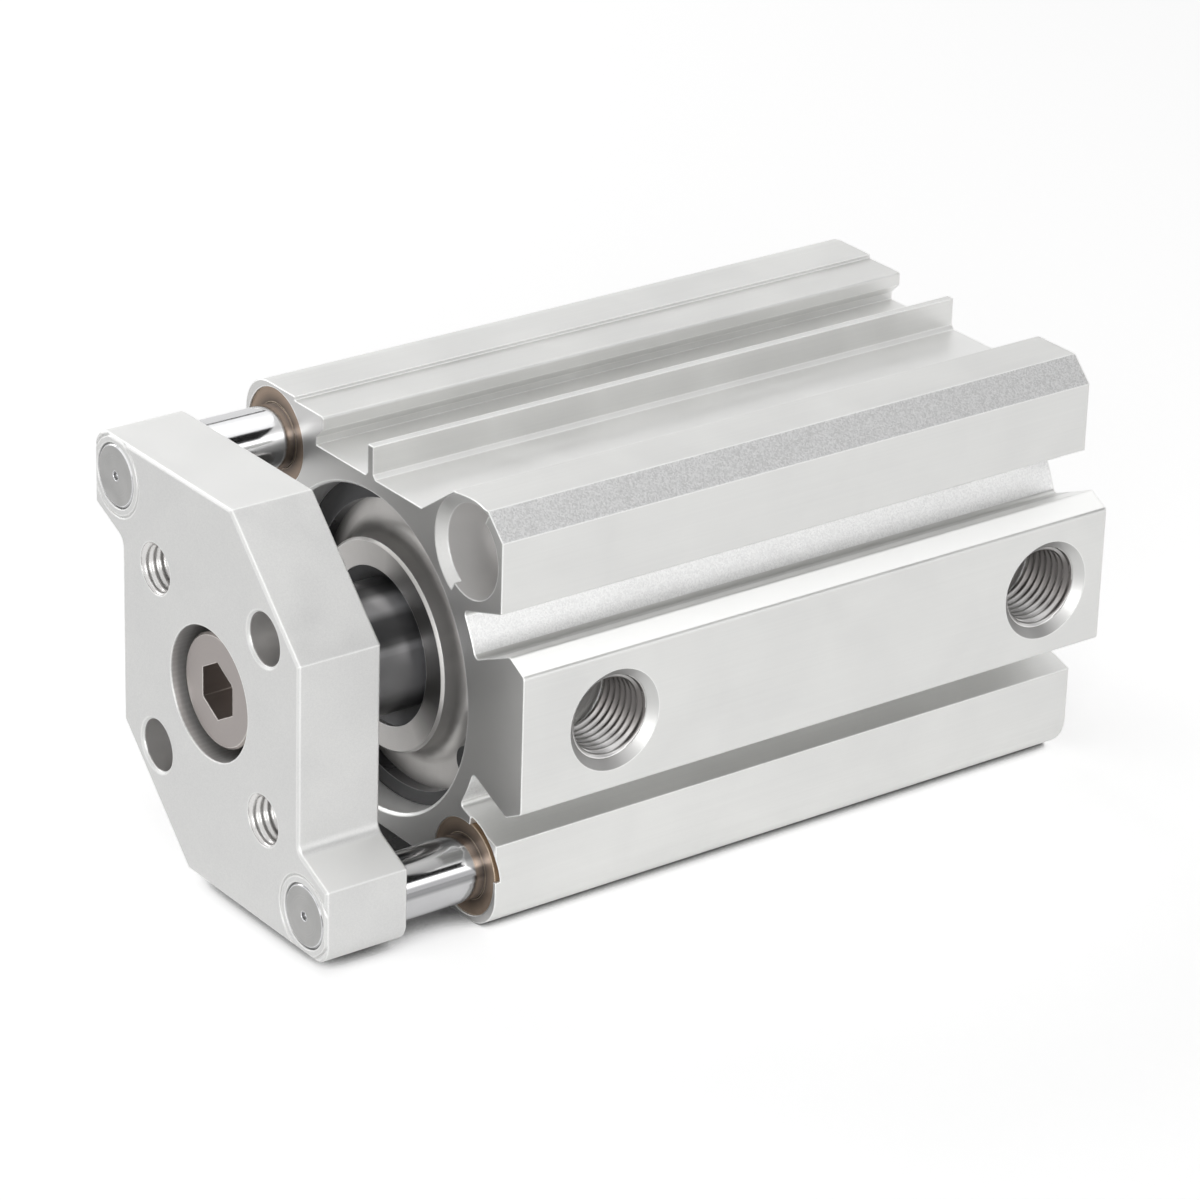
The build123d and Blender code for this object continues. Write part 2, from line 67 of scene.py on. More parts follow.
# A node in a tree; each input is given a plain value or joined to another node's socket
def addNode(tree, kind, inputs=None, **settings):
    made = tree.nodes.new(kind)
    for name, value in settings.items():
        setattr(made, name, value)
    for name, value in (inputs or {}).items():
        if isinstance(value, bpy.types.NodeSocket):
            tree.links.new(value, made.inputs[name])
        else:
            made.inputs[name].default_value = value
    return made


def maths(tree, operation, *values, clamp=False):
    made = addNode(tree, "ShaderNodeMath", dict(enumerate(values)), operation=operation, use_clamp=clamp)
    return made.outputs[0]


def vectorMaths(tree, operation, *values):
    made = addNode(tree, "ShaderNodeVectorMath", dict(enumerate(values)), operation=operation)
    return made.outputs["Value" if operation in ("LENGTH", "DOT_PRODUCT") else "Vector"]


def remap(tree, value, fromLow, fromHigh, toLow=0.0, toHigh=1.0):
    inputs = {"Value": value, "From Min": fromLow, "From Max": fromHigh, "To Min": toLow, "To Max": toHigh}
    return addNode(tree, "ShaderNodeMapRange", inputs, clamp=True).outputs["Result"]


def mixColour(tree, share, first, second):
    made = addNode(tree, "ShaderNodeMix", {0: share}, data_type="RGBA")
    for index, value in ((6, first), (7, second)):
        if isinstance(value, bpy.types.NodeSocket):
            tree.links.new(value, made.inputs[index])
        else:
            made.inputs[index].default_value = (*value, 1.0)
    return made.outputs[2]


def mixValue(tree, share, first, second):
    made = addNode(tree, "ShaderNodeMix", {0: share, 2: first, 3: second}, data_type="FLOAT")
    return made.outputs[0]


def partsOf(tree, value):
    return addNode(tree, "ShaderNodeSeparateXYZ", {0: value}).outputs


def objectPlace(tree):
    return addNode(tree, "ShaderNodeTexCoord").outputs["Object"]


def surfaceNormal(tree):
    return addNode(tree, "ShaderNodeNewGeometry").outputs["Normal"]


# Where several masks hold together
def allOf(tree, first, *others):
    for other in others:
        first = maths(tree, "MULTIPLY", first, other)
    return first


def butNot(tree, mask):
    return maths(tree, "SUBTRACT", 1.0, mask)


def meanOf(tree, first, second):
    return maths(tree, "MULTIPLY", maths(tree, "ADD", first, second), 0.5)


# A shader node group with named sockets: inputs are {name: (kind, value)} and outputs {name: kind}
def startGroup(name, inputs, outputs):
    group = bpy.data.node_groups.new(name, "ShaderNodeTree")
    for label, (kind, value) in inputs.items():
        group.interface.new_socket(label, in_out="INPUT", socket_type=kind).default_value = value
    for label, kind in outputs.items():
        group.interface.new_socket(label, in_out="OUTPUT", socket_type=kind)
    return group, addNode(group, "NodeGroupInput").outputs, addNode(group, "NodeGroupOutput").inputs


def useGroup(tree, group, **inputs):
    made = addNode(tree, "ShaderNodeGroup", node_tree=group)
    for name, value in inputs.items():
        if isinstance(value, bpy.types.NodeSocket):
            tree.links.new(value, made.inputs[name])
        else:
            made.inputs[name].default_value = value
    return made.outputs


number = "NodeSocketFloat"
vector = "NodeSocketVector"


# Broken edges: a rounded normal at sharp edges and a mask of them, from how far that normal turns away
edgeTurn = (0.005, 0.06)


def makeEdgeGroup():
    group, given, out = startGroup("brokenEdges", {"Radius": (number, 0.3 * mm)},
                                   {"Mask": number, "Normal": vector})
    rounded = addNode(group, "ShaderNodeBevel", {"Radius": given["Radius"]}, samples=6).outputs["Normal"]
    turn = butNot(group, vectorMaths(group, "DOT_PRODUCT", rounded, surfaceNormal(group)))
    group.links.new(remap(group, turn, *edgeTurn), out["Mask"])
    group.links.new(rounded, out["Normal"])
    return group


# Grain of a drawn, etched or blasted metal: even when stretch is 1, in lengthwise lines when it is more
def makeGrainGroup():
    group, given, out = startGroup("metalGrain", {"Size": (number, 0.3 * mm), "Stretch": (number, 1.0),
                                                  "Detail": (number, 2.0)}, {"Grain": number})
    across = maths(group, "DIVIDE", 1.0, given["Size"])
    along = maths(group, "DIVIDE", across, given["Stretch"])
    scale = addNode(group, "ShaderNodeCombineXYZ", {"X": across, "Y": along, "Z": across}).outputs[0]
    inputs = {"Vector": vectorMaths(group, "MULTIPLY", objectPlace(group), scale), "Scale": 1.0,
              "Detail": given["Detail"]}
    group.links.new(addNode(group, "ShaderNodeTexNoise", inputs).outputs["Fac"], out["Grain"])
    return group


# Glints of a coarse etched surface, one brightness to each tiny cell
def makeGlintGroup():
    group, given, out = startGroup("etchedGlints", {"Size": (number, 0.25 * mm)},
                                   {"Glint": number, "Height": number})
    inputs = {"Vector": objectPlace(group), "Scale": maths(group, "DIVIDE", 1.0, given["Size"]),
              "Randomness": 1.0}
    cells = addNode(group, "ShaderNodeTexVoronoi", inputs)
    shade = addNode(group, "ShaderNodeSeparateColor", {"Color": cells.outputs["Color"]}).outputs["Red"]
    group.links.new(shade, out["Glint"])
    group.links.new(maths(group, "ADD", shade, cells.outputs["Distance"]), out["Height"])
    return group


# Turning marks: rings round a centre line along Y, the distance from it and the angle round it in degrees
def makeTurnedGroup():
    group, given, out = startGroup("turningMarks", {"Centre": (vector, (0, 0, 0)),
                                                    "Pitch": (number, 0.2 * mm)},
                                   {"Rings": number, "Distance": number, "Angle": number})
    offset = vectorMaths(group, "SUBTRACT", objectPlace(group), given["Centre"])
    radius = vectorMaths(group, "LENGTH", vectorMaths(group, "MULTIPLY", offset, (1, 0, 1)))
    steps = maths(group, "DIVIDE", radius, given["Pitch"])
    rings = addNode(group, "ShaderNodeTexNoise", {"W": steps, "Scale": 1.0, "Detail": 2.0},
                    noise_dimensions="1D")
    group.links.new(rings.outputs["Fac"], out["Rings"])
    group.links.new(radius, out["Distance"])
    parts = partsOf(group, offset)
    angle = maths(group, "ARCTAN2", parts["Z"], parts["X"])
    group.links.new(maths(group, "DEGREES", angle), out["Angle"])
    return group


# Where a point lies within a radius of a centre line, along Y when Across is (1, 0, 1)
def makeRoundZoneGroup():
    group, given, out = startGroup("roundZone", {"Centre": (vector, (0, 0, 0)), "Across": (vector, (1, 0, 1)),
                                                 "Radius": (number, 5 * mm), "Blur": (number, 0.05 * mm)},
                                   {"Inside": number})
    offset = vectorMaths(group, "SUBTRACT", objectPlace(group), given["Centre"])
    distance = vectorMaths(group, "LENGTH", vectorMaths(group, "MULTIPLY", offset, given["Across"]))
    past = maths(group, "DIVIDE", maths(group, "SUBTRACT", distance, given["Radius"]), given["Blur"])
    group.links.new(maths(group, "SUBTRACT", 0.5, past, clamp=True), out["Inside"])
    return group


# Faint handling marks and stains, a slow change of tone over the surface
def makeMarksGroup():
    group, given, out = startGroup("handlingMarks", {"Size": (number, 12 * mm)}, {"Tone": number})
    inputs = {"Vector": objectPlace(group), "Scale": maths(group, "DIVIDE", 1.0, given["Size"]),
              "Detail": 4.0, "Distortion": 0.6}
    cloud = addNode(group, "ShaderNodeTexNoise", inputs)
    group.links.new(remap(group, cloud.outputs["Fac"], 0.3, 0.7), out["Tone"])
    return group


edgeGroup = makeEdgeGroup()
grainGroup = makeGrainGroup()
glintGroup = makeGlintGroup()
turnedGroup = makeTurnedGroup()
roundZoneGroup = makeRoundZoneGroup()
marksGroup = makeMarksGroup()
print("shader groups made")


# A new material and its tree, with the shader that its finish feeds
def startMaterial(name):
    material = bpy.data.materials.new(name)
    material.use_nodes = True
    tree = material.node_tree
    shader = tree.nodes["Principled BSDF"]
    return material, tree, shader


def feed(tree, shader, **inputs):
    for name, value in inputs.items():
        socket = shader.inputs[name.replace("_", " ")]
        if isinstance(value, bpy.types.NodeSocket):
            tree.links.new(value, socket)
        else:
            socket.default_value = value


def bump(tree, height, depth, under=None):
    inputs = {"Height": height, "Distance": depth, "Strength": 1.0}
    if under is not None:
        inputs["Normal"] = under
    return addNode(tree, "ShaderNodeBump", inputs).outputs["Normal"]


# How squarely a surface faces a way where a mask of it starts, and where it is whole; 1 is straight on
facesFrom = {
    "end": (0.93, 0.97), "chamfer": (0.992, 0.997), "slope": (0.78, 0.82), "recess": (0.6, 0.8),
    "notch": (0.97, 0.99), "towardsPlate": (-0.1, -0.6), "plateTop": (0.8, 0.9),
    "threadFlank": (-0.15, -0.55),
}

# Clear anodised extrusion: satin walls with lengthwise lines, etched chamfers and notch floors, milled ends,
# bored bolt holes and countersunk ports, with painted highlights on its edges, painted light on the boss
# slopes, and painted shade in the port mouths that is lighter on the side towards the plate
tube = {
    # paintedEdgeTone is a painted highlight along sharp edges
    "colour": (0.78, 0.78, 0.765), "shade": (0.70, 0.70, 0.69), "paintedEdgeTone": (1.0, 1.0, 0.99),
    "etchedColour": (0.56, 0.56, 0.56), "etchedGlint": (0.75, 0.75, 0.75),
    "floorColour": (0.84, 0.84, 0.84), "floorGlint": (0.98, 0.98, 0.975),
    # paintedSlopeLight is painted light on the boss slopes
    "paintedSlopeLight": (0.91, 0.91, 0.90), "recessColour": (0.87, 0.87, 0.86), "endColour": (0.60, 0.597, 0.588),
    # the two port colours are painted shade in the port mouths and a painted lighter side towards the plate
    "boredColour": (0.78, 0.77, 0.76), "paintedPortShade": (0.47, 0.465, 0.46), "paintedPortLight": (0.62, 0.62, 0.61),
    "roughness": (0.38, 0.47), "etchedRoughness": 0.5, "endRoughness": 0.40, "boredRoughness": 0.35,
    "portRoughness": 0.45, "metallic": 0.85, "boredMetallic": 0.3,
    "lineSize": 0.35 * mm, "lineStretch": 120.0, "lineDepth": 0.004 * mm, "grainSize": 0.16 * mm,
    "grainDepth": 0.006 * mm, "glintSize": 0.22 * mm, "glintDepth": 0.012 * mm, "markSize": 14 * mm,
    "edgeRadius": 0.33 * mm, "notchRadius": 28.4 * mm, "notchBand": 0.1 * mm, "cornerStart": 26 * mm,
    "slopeStart": 31 * mm, "slopeTop": 12.7 * mm, "recessTop": 31.5 * mm, "recessSide": 14 * mm,
    "boltZone": 7.1 * mm, "portZone": 7.95 * mm, "portDepth": 20 * mm, "portFlat": 0.9, "notchCoarse": 0.5,
}


# The tube's zones as masks, from where a point lies and which way it faces
def findTubeZones(tree):
    place, facing = objectPlace(tree), surfaceNormal(tree)
    at, faces = partsOf(tree, place), partsOf(tree, facing)
    awayX, awayZ = (maths(tree, "ABSOLUTE", at[axis]) for axis in ("X", "Z"))
    level = maths(tree, "ABSOLUTE", faces["Z"])
    zones = {"end": remap(tree, maths(tree, "ABSOLUTE", faces["Y"]), *facesFrom["end"])}
    zones["bolt"] = maths(tree, "MAXIMUM", *(
        useGroup(tree, roundZoneGroup, Centre=(sign * cornerPlace, 0, sign * cornerPlace),
                 Radius=tube["boltZone"])["Inside"] for sign in (1, -1)))

    slope = math.sqrt(0.5)        # both parts of a direction at 45 degrees
    slanting = maths(tree, "ABSOLUTE", vectorMaths(tree, "DOT_PRODUCT", facing, (slope, 0, slope)))
    nearCorner = maths(tree, "GREATER_THAN", maths(tree, "MINIMUM", awayX, awayZ), tube["cornerStart"])
    zones["chamfer"] = allOf(tree, remap(tree, slanting, *facesFrom["chamfer"]), nearCorner,
                             butNot(tree, zones["end"]), butNot(tree, zones["bolt"]))
    zones["slope"] = allOf(tree, remap(tree, level, *facesFrom["slope"]),
                           maths(tree, "LESS_THAN", awayZ, tube["slopeTop"]),
                           maths(tree, "GREATER_THAN", at["X"], tube["slopeStart"]))
    zones["recess"] = allOf(tree, remap(tree, level, *facesFrom["recess"]),
                            maths(tree, "LESS_THAN", awayZ, tube["recessTop"]),
                            maths(tree, "LESS_THAN", awayX, tube["recessSide"]))

    # A notch's floor is round about the axis and faces straight away from it
    flatPlace = vectorMaths(tree, "MULTIPLY", place, (1, 0, 1))
    outward = vectorMaths(tree, "DOT_PRODUCT", facing, vectorMaths(tree, "NORMALIZE", flatPlace))
    offFloor = maths(tree, "SUBTRACT", vectorMaths(tree, "LENGTH", flatPlace), tube["notchRadius"])
    onFloor = maths(tree, "LESS_THAN", maths(tree, "ABSOLUTE", offFloor), tube["notchBand"])
    zones["notch"] = allOf(tree, onFloor, remap(tree, outward, *facesFrom["notch"]))

    inPorts = (useGroup(tree, roundZoneGroup, Centre=(0, y, 0), Across=(0, 1, 1),
                        Radius=tube["portZone"])["Inside"] for y in portYs.values())
    zones["port"] = allOf(tree, maths(tree, "MAXIMUM", *inPorts),
                          maths(tree, "LESS_THAN", faces["X"], tube["portFlat"]),
                          maths(tree, "GREATER_THAN", at["X"], tube["portDepth"]))
    zones["towardsPlate"] = remap(tree, faces["Y"], *facesFrom["towardsPlate"])
    return zones


def makeTubeFinish():
    material, tree, shader = startMaterial("clearAnodised")
    zones = findTubeZones(tree)
    edges = useGroup(tree, edgeGroup, Radius=tube["edgeRadius"])
    lines = useGroup(tree, grainGroup, Size=tube["lineSize"], Stretch=tube["lineStretch"],
                     Detail=3.0)["Grain"]
    grain = useGroup(tree, grainGroup, Size=tube["grainSize"], Detail=1.0)["Grain"]
    glints = useGroup(tree, glintGroup, Size=tube["glintSize"])
    marks = useGroup(tree, marksGroup, Size=tube["markSize"])["Tone"]

    tone = meanOf(tree, lines, marks)
    colour = mixColour(tree, tone, tube["shade"], tube["colour"])
    etched = mixColour(tree, glints["Glint"], tube["etchedColour"], tube["etchedGlint"])
    floored = mixColour(tree, glints["Glint"], tube["floorColour"], tube["floorGlint"])
    # painted shade in the port mouths, lighter where they face the plate
    sunk = mixColour(tree, zones["towardsPlate"], tube["paintedPortShade"], tube["paintedPortLight"])
    # painted light on the boss slopes and a painted highlight along every sharp edge
    for mask, over in ((zones["notch"], floored), (zones["slope"], tube["paintedSlopeLight"]),
                       (zones["recess"], tube["recessColour"]), (zones["chamfer"], etched),
                       (zones["end"], tube["endColour"]), (zones["bolt"], tube["boredColour"]),
                       (edges["Mask"], tube["paintedEdgeTone"]), (zones["port"], sunk)):
        colour = mixColour(tree, mask, colour, over)

    rough = mixValue(tree, marks, *tube["roughness"])
    for zone, over in (("chamfer", tube["etchedRoughness"]), ("end", tube["endRoughness"]),
                       ("bolt", tube["boredRoughness"]), ("port", tube["portRoughness"])):
        rough = mixValue(tree, zones[zone], rough, over)
    metal = mixValue(tree, zones["bolt"], tube["metallic"], tube["boredMetallic"])
    metal = maths(tree, "MAXIMUM", metal, zones["slope"])

    normal = bump(tree, lines, tube["lineDepth"], edges["Normal"])
    normal = bump(tree, grain, tube["grainDepth"], normal)
    coarse = maths(tree, "MULTIPLY", zones["notch"], tube["notchCoarse"])
    coarse = maths(tree, "MAXIMUM", zones["chamfer"], coarse)
    normal = bump(tree, maths(tree, "MULTIPLY", glints["Height"], coarse), tube["glintDepth"], normal)
    feed(tree, shader, Base_Color=colour, Metallic=metal, Roughness=rough, Normal=normal)
    return material


# Bead-blasted plate: an even frosted skin with a painted highlight along its edges and painted light on its
# level faces; its holes bored smooth after blasting, the screw's counterbore in painted shade
plate = {
    "colour": (0.745, 0.745, 0.735), "shade": (0.665, 0.665, 0.66), "paintedEdgeTone": (0.93, 0.93, 0.92),
    "paintedTopLight": (0.78, 0.78, 0.77), "paintedSeatShade": (0.27, 0.262, 0.258), "holeColour": (0.74, 0.73, 0.72),
    "metallic": 0.75, "roughness": (0.47, 0.57), "boredRoughness": 0.24, "grainSize": 0.2 * mm,
    "grainDepth": 0.01 * mm, "glintSize": 0.18 * mm, "markSize": 10 * mm, "edgeRadius": 0.45 * mm,
    "seatZone": 10.29 * mm, "holeZone": 4.04 * mm,
}


def makePlateFinish():
    material, tree, shader = startMaterial("beadBlasted")
    edges = useGroup(tree, edgeGroup, Radius=plate["edgeRadius"])
    grain = useGroup(tree, grainGroup, Size=plate["grainSize"], Detail=2.0)["Grain"]
    glint = useGroup(tree, glintGroup, Size=plate["glintSize"])["Glint"]
    marks = useGroup(tree, marksGroup, Size=plate["markSize"])["Tone"]
    seat = useGroup(tree, roundZoneGroup, Radius=plate["seatZone"])["Inside"]
    bored = seat
    for x, z in ((-1, 1), (1, 1), (1, -1), (-1, -1)):
        hole = useGroup(tree, roundZoneGroup, Centre=(x * plateHolePlace, 0, z * plateHolePlace),
                        Radius=plate["holeZone"])["Inside"]
        bored = maths(tree, "MAXIMUM", bored, hole)

    tone = meanOf(tree, glint, marks)
    colour = mixColour(tree, tone, plate["shade"], plate["colour"])
    level = maths(tree, "ABSOLUTE", partsOf(tree, surfaceNormal(tree))["Z"])
    # painted light on the faces that lie level
    colour = mixColour(tree, remap(tree, level, *facesFrom["plateTop"]), colour, plate["paintedTopLight"])
    # painted shade in the screw's counterbore
    colour = mixColour(tree, bored, colour, mixColour(tree, seat, plate["holeColour"], plate["paintedSeatShade"]))
    # a painted highlight along the edges
    colour = mixColour(tree, allOf(tree, edges["Mask"], butNot(tree, bored)), colour, plate["paintedEdgeTone"])
    rough = mixValue(tree, marks, *plate["roughness"])
    rough = mixValue(tree, bored, rough, plate["boredRoughness"])
    normal = bump(tree, grain, plate["grainDepth"], edges["Normal"])
    feed(tree, shader, Base_Color=colour, Metallic=plate["metallic"], Roughness=rough, Normal=normal)
    return material


# Painted reflections round a ground rod, as tone from stops of angle in degrees and tone
def paintReflectionsRound(tree, angle, stops):
    ramp = addNode(tree, "ShaderNodeValToRGB", {"Fac": remap(tree, angle, -180.0, 180.0)})
    elements = ramp.color_ramp.elements
    elements.remove(elements[1])
    for index, (degrees, tone) in enumerate(stops):
        place = (degrees + 180) / 360
        stop = elements[0] if index == 0 else elements.new(place)
        stop.position, stop.color = place, (tone, tone, tone, 1.0)
    return addNode(tree, "ShaderNodeSeparateColor", {"Color": ramp.outputs["Color"]}).outputs["Red"]


# What the turned finishes have in common; a sweep is a dark fan of painted shade across a turned end, and
# boreShade is how strong the painted shade is at a bore's edge
turning = {"markSize": 6 * mm, "ringShare": 0.4, "sweepRange": (0.4, 0.85), "boreShade": 0.75,
           "roughSpread": 0.15}


# Turned or ground steel, bronze and aluminium share this: rings round a centre line, fine grain, and edges
# with a painted tone; some looks add painted reflections, painted shade on thread flanks and round a bore, a
# painted dark fan
def makeTurnedFinish(name, look, centre=(0, 0, 0)):
    material, tree, shader = startMaterial(name)
    edges = useGroup(tree, edgeGroup, Radius=look["edgeRadius"])
    turned = useGroup(tree, turnedGroup, Centre=centre, Pitch=look["pitch"])
    rings = turned["Rings"]
    grain = useGroup(tree, grainGroup, Size=look["grain"], Detail=2.0)["Grain"]
    marks = useGroup(tree, marksGroup, Size=turning["markSize"])["Tone"]
    tone = maths(tree, "ADD", maths(tree, "MULTIPLY", rings, turning["ringShare"]),
                 maths(tree, "MULTIPLY", marks, 1 - turning["ringShare"]))
    lengthwise = partsOf(tree, surfaceNormal(tree))["Y"]
    onEnd = remap(tree, maths(tree, "ABSOLUTE", lengthwise), *facesFrom["end"])
    colour = mixColour(tree, tone, look["shade"], look["colour"])
    # painted shade on the thread flanks that face -Y
    if "paintedFlankShade" in look:
        shadedFlank = remap(tree, lengthwise, *facesFrom["threadFlank"])
        colour = mixColour(tree, shadedFlank, colour, look["paintedFlankShade"])
    # painted reflections round the rod
    if "paintedReflections" in look:
        colour = mixColour(tree, paintReflectionsRound(tree, turned["Angle"], look["paintedReflections"]), look["reflectionDark"], colour)
    endColour = mixColour(tree, tone, look["endShade"], look["endColour"])
    # a painted dark fan of shade across the end
    if "sweep" in look:
        turn = maths(tree, "RADIANS", maths(tree, "SUBTRACT", turned["Angle"], look["sweep"]))
        sideways = maths(tree, "ABSOLUTE", maths(tree, "COSINE", turn))
        sweptShade = remap(tree, sideways, *turning["sweepRange"])
        endColour = mixColour(tree, sweptShade, endColour, look["sweepShade"])
    # painted shade round the bore
    if "bore" in look:
        innerShade = remap(tree, turned["Distance"], look["bore"], look["bore"] + look["boreFade"],
                      turning["boreShade"], 0.0)
        endColour = mixColour(tree, innerShade, endColour, look["boreColour"])
    colour = mixColour(tree, onEnd, colour, endColour)
    # a painted tone along sharp edges: a highlight on most looks, a dark line on the thread
    colour = mixColour(tree, edges["Mask"], colour, look["paintedEdgeTone"])
    rough = mixValue(tree, onEnd, look["roughness"], look["endRoughness"])
    spread = turning["roughSpread"]
    rough = maths(tree, "MULTIPLY", rough, remap(tree, marks, 0.0, 1.0, 1 - spread, 1 + spread))
    normal = bump(tree, rings, look["ringDepth"], edges["Normal"])
    normal = bump(tree, grain, look["grainDepth"], normal)
    feed(tree, shader, Base_Color=colour, Metallic=look["metallic"], Roughness=rough, Normal=normal)
    return material


looks = {
    "turnedAluminium": {
        "colour": (0.74, 0.72, 0.70), "shade": (0.62, 0.605, 0.59), "paintedEdgeTone": (0.88, 0.88, 0.87),
        "endColour": (0.68, 0.66, 0.64), "endShade": (0.56, 0.545, 0.53), "endRoughness": 0.38,
        "metallic": 0.7, "roughness": 0.36, "edgeRadius": 0.13 * mm, "pitch": 0.12 * mm,
        "ringDepth": 0.0012 * mm, "grain": 0.15 * mm, "grainDepth": 0.001 * mm,
        # the sweep paints a dark fan of shade across each turned end
        "sweep": 18.0, "sweepShade": (0.08, 0.077, 0.074)},
    "groundChrome": {
        "colour": (0.80, 0.80, 0.82), "shade": (0.74, 0.74, 0.76), "paintedEdgeTone": (0.85, 0.86, 0.88),
        "endColour": (0.46, 0.455, 0.45), "endShade": (0.30, 0.30, 0.295), "endRoughness": 0.36,
        "metallic": 0.9, "roughness": 0.34, "edgeRadius": 0.25 * mm, "pitch": 0.2 * mm,
        "ringDepth": 0.0002 * mm, "grain": 0.12 * mm, "grainDepth": 0.0002 * mm,
        # painted reflections round the piston rod
        "reflectionDark": (0.03, 0.03, 0.032), "paintedReflections": (
            (-180, 0.5), (-70, 0.4), (-45, 0.05), (-30, 0.3), (-15, 0.85), (14, 0.8), (18, 0.8), (20, 1.0),
            (24, 1.0), (28, 0.35), (34, 0.2), (50, 0.25), (58, 1.0), (70, 1.0), (78, 0.25), (90, 0.12),
            (120, 0.3), (180, 0.5))},
    "threadedAluminium": {
        "colour": (0.95, 0.94, 0.93), "shade": (0.88, 0.87, 0.86), "paintedEdgeTone": (0.62, 0.61, 0.60),
        "endColour": (0.47, 0.455, 0.44), "endShade": (0.36, 0.35, 0.34), "endRoughness": 0.25,
        "metallic": 0.7, "roughness": 0.34, "edgeRadius": 0.1 * mm, "pitch": 0.2 * mm,
        "ringDepth": 0.0005 * mm, "grain": 0.2 * mm, "grainDepth": 0.002 * mm,
        # painted shade on the flanks that face -Y
        "paintedFlankShade": (0.16, 0.15, 0.145)},
    "sinteredBronze": {
        "colour": (0.44, 0.31, 0.20), "shade": (0.20, 0.12, 0.07), "paintedEdgeTone": (0.66, 0.54, 0.42),
        "endColour": (0.44, 0.34, 0.265), "endShade": (0.26, 0.19, 0.14), "endRoughness": 0.46,
        "metallic": 0.7, "roughness": 0.48, "edgeRadius": 0.3 * mm, "pitch": 0.15 * mm,
        "ringDepth": 0.0008 * mm, "grain": 0.2 * mm, "grainDepth": 0.02 * mm,
        # painted shade round the bore, nearly black at its edge
        "bore": 5.2 * mm, "boreFade": 1.6 * mm, "boreColour": (0.04, 0.03, 0.025)},
    "blackSpringSteel": {
        "colour": (0.035, 0.035, 0.038), "shade": (0.02, 0.02, 0.022), "paintedEdgeTone": (0.20, 0.20, 0.205),
        "endColour": (0.06, 0.06, 0.062), "endShade": (0.035, 0.035, 0.037), "endRoughness": 0.34,
        "metallic": 0.9, "roughness": 0.3, "edgeRadius": 0.15 * mm, "pitch": 0.3 * mm,
        "ringDepth": 0.001 * mm, "grain": 0.12 * mm, "grainDepth": 0.004 * mm},
    "screwSteel": {
        "colour": (0.46, 0.42, 0.40), "shade": (0.36, 0.33, 0.31), "paintedEdgeTone": (0.72, 0.69, 0.66),
        "endColour": (0.37, 0.338, 0.325), "endShade": (0.32, 0.292, 0.282), "endRoughness": 0.36,
        "metallic": 1.0, "roughness": 0.32, "edgeRadius": 0.25 * mm, "pitch": 0.25 * mm,
        "ringDepth": 0.003 * mm, "grain": 0.2 * mm, "grainDepth": 0.004 * mm},
}
# The guide rods are alike, but what stands round each one gives it its own painted reflections
guideChrome = {
    "colour": (0.94, 0.94, 0.95), "shade": (0.86, 0.86, 0.87), "paintedEdgeTone": (0.85, 0.86, 0.88),
    "endColour": (0.46, 0.455, 0.45), "endShade": (0.30, 0.30, 0.295), "endRoughness": 0.36,
    "metallic": 1.0, "roughness": 0.13, "edgeRadius": 0.25 * mm, "pitch": 0.2 * mm,
    "ringDepth": 0.0001 * mm, "grain": 0.12 * mm, "grainDepth": 0.0001 * mm,
    "reflectionDark": (0.16, 0.16, 0.165),
}
guideReflections = {
    "upper": ((-180, 0.6), (-70, 0.5), (-50, 0.36), (-20, 0.42), (6, 0.5), (17, 0.55), (23, 1.0), (78, 1.0),
              (84, 0.7), (115, 0.55), (180, 0.6)),
    "lower": ((-180, 0.6), (-70, 0.4), (-45, 0.4), (-10, 0.5), (2, 0.5), (8, 0.16), (13, 0.2), (17, 0.12),
              (23, 0.12), (28, 1.0), (36, 1.0), (44, 0.5), (60, 0.8), (80, 0.4), (180, 0.6)),
}


# Rubber, urethane and resin pieces: dull, faintly mottled
mottle = {"grainSize": 0.2 * mm, "grainDepth": 0.01 * mm, "markSize": 4 * mm, "markTone": 0.75,
          "roughSpread": 0.08}


def makeRubberFinish(name, colour, roughness):
    material, tree, shader = startMaterial(name)
    grain = useGroup(tree, grainGroup, Size=mottle["grainSize"], Detail=3.0)["Grain"]
    marks = useGroup(tree, marksGroup, Size=mottle["markSize"])["Tone"]
    tinted = mixColour(tree, marks, tuple(part * mottle["markTone"] for part in colour), colour)
    rough = mixValue(tree, grain, roughness - mottle["roughSpread"], roughness + mottle["roughSpread"])
    normal = bump(tree, grain, mottle["grainDepth"])
    feed(tree, shader, Base_Color=tinted, Roughness=rough, Normal=normal)
    return material


rubbers = {
    "sealRubber": ((0.018, 0.018, 0.018), 0.55), "lipUrethane": ((0.17, 0.17, 0.175), 0.5),
    "bumperRubber": ((0.16, 0.09, 0.05), 0.5), "wearResin": ((0.5, 0.46, 0.36), 0.45),
    "magnetRubber": ((0.07, 0.07, 0.075), 0.5),
}

finishes = {name: makeTurnedFinish(name, look) for name, look in looks.items()}
for side, sign in (("upper", -1), ("lower", 1)):
    centre = (sign * cornerPlace, 0, -sign * cornerPlace)
    rodLook = dict(guideChrome, paintedReflections=guideReflections[side])
    finishes[side + "GuideChrome"] = makeTurnedFinish(side + "GuideChrome", rodLook, centre)
    finishes[side + "Bronze"] = makeTurnedFinish(side + "Bronze", looks["sinteredBronze"], centre)
for name, (colour, roughness) in rubbers.items():
    finishes[name] = makeRubberFinish(name, colour, roughness)
finishes["clearAnodised"] = makeTubeFinish()
finishes["beadBlasted"] = makePlateFinish()

